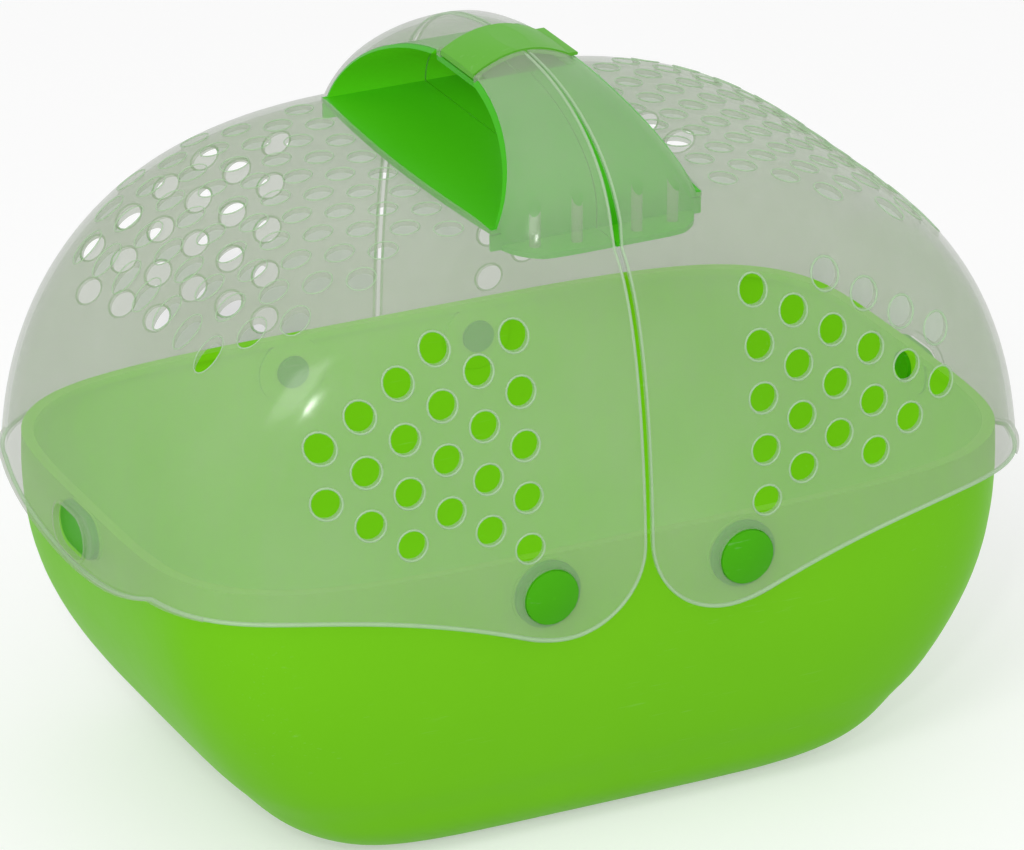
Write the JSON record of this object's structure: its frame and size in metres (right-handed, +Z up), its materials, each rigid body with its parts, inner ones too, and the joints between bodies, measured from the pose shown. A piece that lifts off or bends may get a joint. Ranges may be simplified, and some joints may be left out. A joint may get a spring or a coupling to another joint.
{
  "type": "small animal carrier",
  "caption": "Small animal carrier: a ventilated two-half dome that swings open over a tub, with a split carrying handle, a handle clip and pivot knobs.",
  "frame": {"origin": "on the ground, under the centre of the tub", "axes": "+X along the length towards the right lid half, +Y towards the back, front at -Y, +Z up"},
  "size_m": [0.3902, 0.2588, 0.3051],
  "materials": {
    "tub_plastic": "smooth moulded polypropylene, leaf green",
    "lid_plastic": "frosted translucent polypropylene, milky",
    "liner_plastic": "smooth moulded polypropylene, vivid green",
    "clip_plastic": "smooth moulded polypropylene, green",
    "knob_plastic": "smooth moulded polypropylene, green"
  },
  "bodies": {
    "tub": {"tub": "tub_plastic", "front_left_pivot_knob": "knob_plastic", "front_right_pivot_knob": "knob_plastic", "back_left_pivot_knob": "knob_plastic", "back_right_pivot_knob": "knob_plastic", "left_snap_button": "knob_plastic", "right_snap_button": "knob_plastic"},
    "left_half": {"left_lid": "lid_plastic", "left_handle_liner": "liner_plastic", "clip_hinge_pin": "clip_plastic"},
    "right_half": {"right_lid": "lid_plastic", "right_handle_liner": "liner_plastic"},
    "clip": {"handle_clip": "clip_plastic"}
  },
  "joints": [
    {"name": "left_half_swing", "type": "hinge", "parent": "tub", "child": "left_half", "pos_m": [-0.043, 0, 0.122], "axis": [0, -1, 0], "range_deg": [0, 45]},
    {"name": "right_half_swing", "type": "hinge", "parent": "tub", "child": "right_half", "pos_m": [0.043, 0, 0.122], "axis": [0, 1, 0], "range_deg": [0, 45]},
    {"name": "clip_swing", "type": "hinge", "parent": "left_half", "child": "clip", "pos_m": [-0.0209, 0, 0.297], "axis": [0, -1, 0], "range_deg": [0, 100]}
  ]
}
